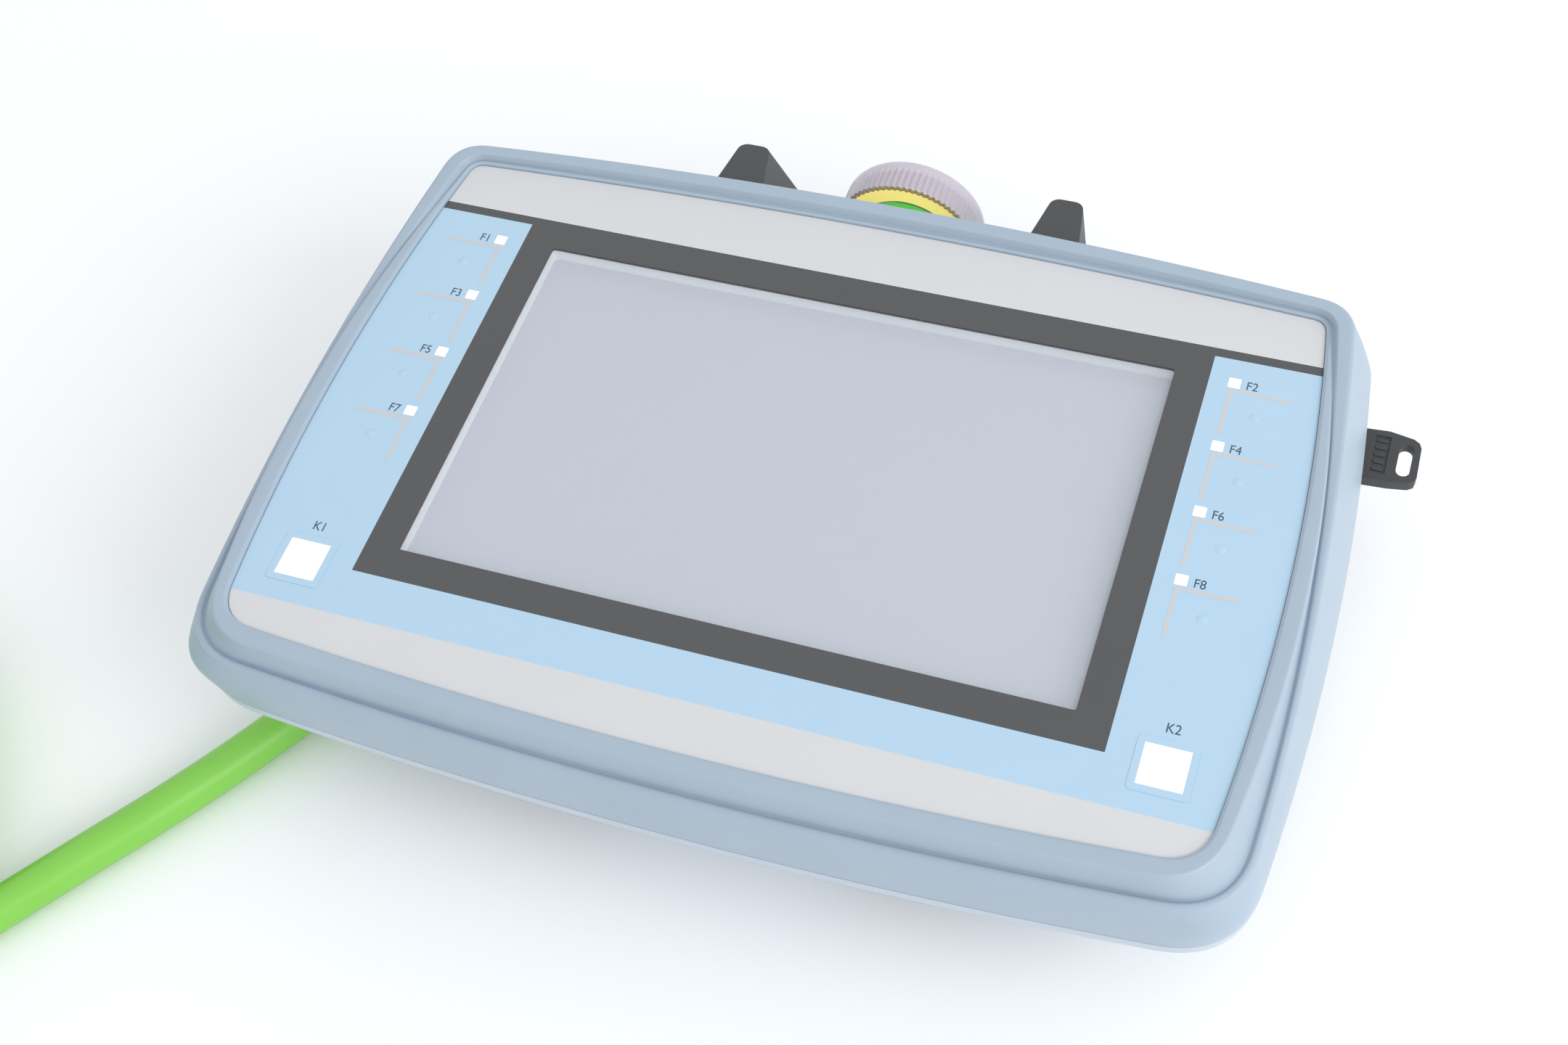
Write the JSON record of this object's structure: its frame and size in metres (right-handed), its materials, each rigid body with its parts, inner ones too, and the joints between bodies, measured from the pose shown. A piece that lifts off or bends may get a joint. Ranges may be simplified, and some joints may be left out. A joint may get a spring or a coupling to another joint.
{
  "type": "handheld operator panel",
  "caption": "Handheld industrial operator panel with touch display, membrane keys, emergency stop, key switch, enabling buttons, rear grips and a green plug-in cable.",
  "frame": {"origin": "on the flat back cover the panel lies on, straight behind the middle of the screen", "axes": "+X to the right of the screen, +Y up the screen, +Z out of the screen"},
  "size_m": [0.4478, 0.2993, 0.0688],
  "materials": {
    "front_shell_plastic": "fine satin grain",
    "rear_shell_plastic": "fine satin grain",
    "seal_rubber": "matt",
    "gasket_foam": "closed-cell foam",
    "membrane_print": "printed film, fine matt texture",
    "corner_key_print": "printed film, fine matt texture",
    "screen": "smooth touch surface",
    "panel_metal": "stamped sheet",
    "screw_steel": "zinc plated",
    "circuit_board": "solder mask",
    "component_plastic": "moulded",
    "terminal_plastic": "moulded",
    "light_pipe": "clear diffusing",
    "cover_plastic": "moulded grain",
    "label_foil": "blank printed foil",
    "grip_rubber": "fine matt grain",
    "button_plastic": "moulded",
    "switch_plastic": "moulded",
    "nut_plastic": "moulded",
    "stop_green": "moulded",
    "stop_cap": "clear grey, fluted",
    "stop_yellow": "moulded",
    "lock_metal": "satin",
    "gland_plastic": "moulded",
    "cable_sheath": "smooth extruded sheath",
    "tie_strap": "woven strap",
    "plug_metal": "nickel plated"
  },
  "bodies": {
    "panel": {"front_shell": "front_shell_plastic", "rear_shell": "rear_shell_plastic", "housing_seal": "seal_rubber", "overlay_foil": "membrane_print", "touch_panel": "screen", "display_gasket": "gasket_foam", "lcd_module": "panel_metal", "display_frame": "panel_metal", "display_screws": "screw_steel", "keypad_boards": "circuit_board", "key_domes": "panel_metal", "led_light_pipes": "light_pipe", "main_board": "circuit_board", "board_components": "component_plastic", "board_screws": "screw_steel", "terminal_housing": "rear_shell_plastic", "terminal_board": "circuit_board", "terminal_blocks": "terminal_plastic", "compartment_cover": "cover_plastic", "cover_seal": "seal_rubber", "cover_screws": "screw_steel", "housing_screws": "screw_steel", "rating_plate": "label_foil", "left_grip": "grip_rubber", "right_grip": "grip_rubber", "enable_switches": "switch_plastic", "estop_body": "button_plastic", "estop_nut": "nut_plastic", "estop_contact_block": "switch_plastic", "estop_green_ring": "stop_green", "key_switch_body": "lock_metal", "key_switch_nut": "nut_plastic", "key_contact_block": "switch_plastic", "usb_socket": "panel_metal", "cable_gland": "gland_plastic", "gland_nut": "gland_plastic", "bend_relief": "cable_sheath", "cable": "cable_sheath", "cable_coil": "cable_sheath", "coil_ties": "tie_strap", "plug_body": "plug_metal"},
    "left_enable": {"left_enable_button": "button_plastic"},
    "right_enable": {"right_enable_button": "button_plastic"},
    "stop_slider": {"estop_stem": "panel_metal"},
    "stop_head": {"estop_cap": "stop_cap", "estop_yellow_plate": "stop_yellow"},
    "lock_rotor": {"key_rotor": "panel_metal"},
    "lock_key": {"key": "button_plastic"},
    "usb_flap": {"usb_cover": "cover_plastic"},
    "plug_coupling": {"coupling_ring": "plug_metal"},
    "f1_button": {"f1_key": "membrane_print"},
    "f2_button": {"f2_key": "membrane_print"},
    "f3_button": {"f3_key": "membrane_print"},
    "f4_button": {"f4_key": "membrane_print"},
    "f5_button": {"f5_key": "membrane_print"},
    "f6_button": {"f6_key": "membrane_print"},
    "f7_button": {"f7_key": "membrane_print"},
    "f8_button": {"f8_key": "membrane_print"},
    "k1_button": {"k1_key": "corner_key_print"},
    "k2_button": {"k2_key": "corner_key_print"}
  },
  "joints": [
    {"name": "estop_press", "type": "slide", "parent": "panel", "child": "stop_slider", "axis": [0, -1, 0], "range_m": [0, 0.004], "stiffness_N_per_m": 2000, "springref_m": -0.002},
    {"name": "estop_twist", "type": "hinge", "parent": "stop_slider", "child": "stop_head", "pos_m": [0, 0.09, 0.045], "axis": [0, 1, 0], "range_deg": [-45, 0], "stiffness_Nm_per_rad": 0.3},
    {"name": "key_turn", "type": "hinge", "parent": "panel", "child": "lock_rotor", "pos_m": [0.105, 0.0565, 0.0335], "axis": [1, 0, 0], "range_deg": [-45, 45]},
    {"name": "key_pull", "type": "slide", "parent": "lock_rotor", "child": "lock_key", "axis": [1, 0, 0], "range_m": [0, 0.02]},
    {"name": "left_enable_press", "type": "slide", "parent": "panel", "child": "left_enable", "axis": [1, 0, 0], "range_m": [0, 0.003], "stiffness_N_per_m": 1500, "springref_m": -0.001},
    {"name": "right_enable_press", "type": "slide", "parent": "panel", "child": "right_enable", "axis": [-1, 0, 0], "range_m": [0, 0.003], "stiffness_N_per_m": 1500, "springref_m": -0.001},
    {"name": "usb_cover_hinge", "type": "hinge", "parent": "panel", "child": "usb_flap", "pos_m": [-0.0848, 0.012, 0.0208], "axis": [0, 1, 0], "range_deg": [0, 95]},
    {"name": "coupling_turn", "type": "hinge", "parent": "panel", "child": "plug_coupling", "pos_m": [-0.3033, -0.0819, 0.01155], "axis": [0, 1, 0], "continuous": true},
    {"name": "f1_press", "type": "slide", "parent": "panel", "child": "f1_button", "axis": [0, 0, -1], "range_m": [0, 0.00035], "stiffness_N_per_m": 2000, "springref_m": -0.0002},
    {"name": "f2_press", "type": "slide", "parent": "panel", "child": "f2_button", "axis": [0, 0, -1], "range_m": [0, 0.00035], "stiffness_N_per_m": 2000, "springref_m": -0.0002},
    {"name": "f3_press", "type": "slide", "parent": "panel", "child": "f3_button", "axis": [0, 0, -1], "range_m": [0, 0.00035], "stiffness_N_per_m": 2000, "springref_m": -0.0002},
    {"name": "f4_press", "type": "slide", "parent": "panel", "child": "f4_button", "axis": [0, 0, -1], "range_m": [0, 0.00035], "stiffness_N_per_m": 2000, "springref_m": -0.0002},
    {"name": "f5_press", "type": "slide", "parent": "panel", "child": "f5_button", "axis": [0, 0, -1], "range_m": [0, 0.00035], "stiffness_N_per_m": 2000, "springref_m": -0.0002},
    {"name": "f6_press", "type": "slide", "parent": "panel", "child": "f6_button", "axis": [0, 0, -1], "range_m": [0, 0.00035], "stiffness_N_per_m": 2000, "springref_m": -0.0002},
    {"name": "f7_press", "type": "slide", "parent": "panel", "child": "f7_button", "axis": [0, 0, -1], "range_m": [0, 0.00035], "stiffness_N_per_m": 2000, "springref_m": -0.0002},
    {"name": "f8_press", "type": "slide", "parent": "panel", "child": "f8_button", "axis": [0, 0, -1], "range_m": [0, 0.00035], "stiffness_N_per_m": 2000, "springref_m": -0.0002},
    {"name": "k1_press", "type": "slide", "parent": "panel", "child": "k1_button", "axis": [0, 0, -1], "range_m": [0, 0.00035], "stiffness_N_per_m": 2000, "springref_m": -0.0002},
    {"name": "k2_press", "type": "slide", "parent": "panel", "child": "k2_button", "axis": [0, 0, -1], "range_m": [0, 0.00035], "stiffness_N_per_m": 2000, "springref_m": -0.0002}
  ]
}
